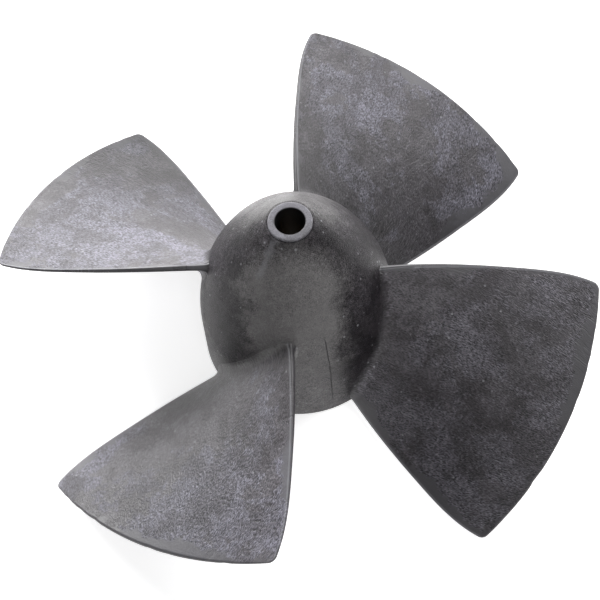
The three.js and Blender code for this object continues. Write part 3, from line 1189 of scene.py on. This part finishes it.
# The camera's film width in mm and the nearest distance that it sees, in metres.
SENSOR_WIDTH = 36
CLIP_START = 0.01


def soft_box(name, place, target, watts):
    """A rectangular studio light that faces a target."""
    data = bpy.data.lights.new(name, "AREA")
    data.shape = "RECTANGLE"
    data.size = LIGHT_WIDTH
    data.size_y = LIGHT_DEPTH
    data.energy = watts
    light = bpy.data.objects.new(name, data)
    light.location = place
    light.rotation_euler = (place - target).to_track_quat("Z", "Y").to_euler()
    bpy.context.scene.collection.objects.link(light)


@shared("materials", "Studio floor")
def floor_material(name):
    """A pale table that glows a little. It can be seen through from below."""
    material, tree, shader, _ = new_material(name)
    shader.inputs["Base Color"].default_value = finishes().floor
    shader.inputs["Roughness"].default_value = 0.9
    shader.inputs["Emission Color"].default_value = (1, 1, 1, 1)
    shader.inputs["Emission Strength"].default_value = FLOOR_GLOW
    clear = node(tree, "ShaderNodeBsdfTransparent")
    below = node(tree, "ShaderNodeNewGeometry").outputs["Backfacing"]
    inputs = {0: below, 1: shader.outputs["BSDF"], 2: clear.outputs["BSDF"]}
    mixed = node(tree, "ShaderNodeMixShader", inputs)
    tree.links.new(mixed.outputs["Shader"], tree.nodes["Material Output"].inputs["Surface"])
    return material


class PROPELLER_OT_stage(bpy.types.Operator):
    """Makes the floor, the studio lights and the camera"""

    bl_idname = "propeller.stage"
    bl_label = "Stage"

    def floor(self, context):
        """A level floor just under the hub's rear rim."""
        bm = bmesh.new()
        bmesh.ops.create_grid(bm, x_segments=2, y_segments=2, size=FLOOR_REACH)
        bmesh.ops.translate(bm, verts=bm.verts, vec=(0, 0, CAD_BOX[0].z - FLOOR_DROP))
        mesh = bpy.data.meshes.new("studio_floor")
        bm.to_mesh(mesh)
        bm.free()
        mesh.materials.append(floor_material())
        floor = bpy.data.objects.new("studio_floor", mesh)
        context.scene.collection.objects.link(floor)

    def camera(self, context):
        """The camera, aimed at the shaft axis and then slid and rolled."""
        stage = context.scene.propeller_stage
        azimuth, elevation, roll = stage.azimuth, stage.elevation, stage.roll
        level = Vector((math.sin(azimuth), -math.cos(azimuth), 0))
        back = level * math.cos(elevation) + Vector((0, 0, math.sin(elevation)))
        flat = Vector((math.cos(azimuth), math.sin(azimuth), 0))
        rise = back.cross(flat)
        right = flat * math.cos(roll) + rise * math.sin(roll)
        up = rise * math.cos(roll) - flat * math.sin(roll)
        place = Vector((0, 0, stage.aim_height)) + back * stage.distance
        place += right * stage.slide_right + up * stage.slide_up
        data = bpy.data.cameras.new("camera")
        data.lens = stage.lens
        data.sensor_width = SENSOR_WIDTH
        data.clip_start = CLIP_START
        camera = bpy.data.objects.new("camera", data)
        turn = Matrix((right, up, back)).transposed().to_4x4()
        camera.matrix_world = Matrix.Translation(place) @ turn
        context.scene.collection.objects.link(camera)
        context.scene.camera = camera

    def lights(self, context):
        """The soft boxes, all facing one point on the shaft axis."""
        for name, azimuth, elevation, watts in SOFT_BOXES:
            turn, lift = math.radians(azimuth), math.radians(elevation)
            level = math.cos(lift)
            aim = Vector((0, 0, LIGHT_AIM_HEIGHT))
            way = Vector((level * math.cos(turn), level * math.sin(turn), math.sin(lift)))
            soft_box(name, aim + way * LIGHT_DISTANCE, aim, watts)

    def backdrop(self, context):
        """A pale backdrop that the camera sees, and that gives no light."""
        world = bpy.data.worlds.new("studio")
        world.use_nodes = True
        tree = world.node_tree
        seen = node(tree, "ShaderNodeLightPath").outputs["Is Camera Ray"]
        pale = tree.nodes["Background"]
        pale.inputs["Color"].default_value = finishes().backdrop
        tree.links.new(seen, pale.inputs["Strength"])
        context.scene.world = world

    def execute(self, context):
        self.floor(context)
        self.lights(context)
        self.backdrop(context)
        self.camera(context)
        context.scene.view_settings.view_transform = "Standard"
        return {"FINISHED"}


# ---------------- panel and main


class PROPELLER_PT_panel(bpy.types.Panel):
    """Sidebar panel that lists the propeller's pieces"""

    bl_label = "Thruster propeller"
    bl_idname = "PROPELLER_PT_panel"
    bl_space_type = "VIEW_3D"
    bl_region_type = "UI"
    bl_category = "Propeller"

    def draw(self, context):
        column = self.layout.column()
        for operator in PIECE_OPERATORS:
            column.operator(operator.bl_idname)
        for group in ("propeller_blade", "propeller_hub", "propeller_finish", "propeller_stage"):
            settings = getattr(context.scene, group)
            box = self.layout.box()
            for name in settings.bl_rna.properties.keys():
                if name not in ("rna_type", "name"):
                    box.prop(settings, name)


PIECE_OPERATORS = (
    PROPELLER_OT_stage,
    PROPELLER_OT_hub_shell,
    PROPELLER_OT_hub_core,
    PROPELLER_OT_shaft_bush,
    PROPELLER_OT_webs,
    PROPELLER_OT_blades,
)
SETTINGS = {
    "propeller_blade": BladeSizes,
    "propeller_hub": HubSizes,
    "propeller_finish": Finishes,
    "propeller_stage": StageSettings,
}


def register():
    for group in SETTINGS.values():
        bpy.utils.register_class(group)
    for name, group in SETTINGS.items():
        setattr(bpy.types.Scene, name, bpy.props.PointerProperty(type=group))
    for operator in PIECE_OPERATORS:
        bpy.utils.register_class(operator)
    bpy.utils.register_class(PROPELLER_PT_panel)


def unregister():
    bpy.utils.unregister_class(PROPELLER_PT_panel)
    for operator in reversed(PIECE_OPERATORS):
        bpy.utils.unregister_class(operator)
    for name in SETTINGS:
        delattr(bpy.types.Scene, name)
    for group in SETTINGS.values():
        bpy.utils.unregister_class(group)


def main():
    register()
    bpy.ops.propeller.stage()
    bpy.ops.propeller.hub_shell()
    bpy.ops.propeller.hub_core()
    bpy.ops.propeller.shaft_bush()
    bpy.ops.propeller.webs()
    bpy.ops.propeller.blades()


if __name__ == "__main__":
    main()
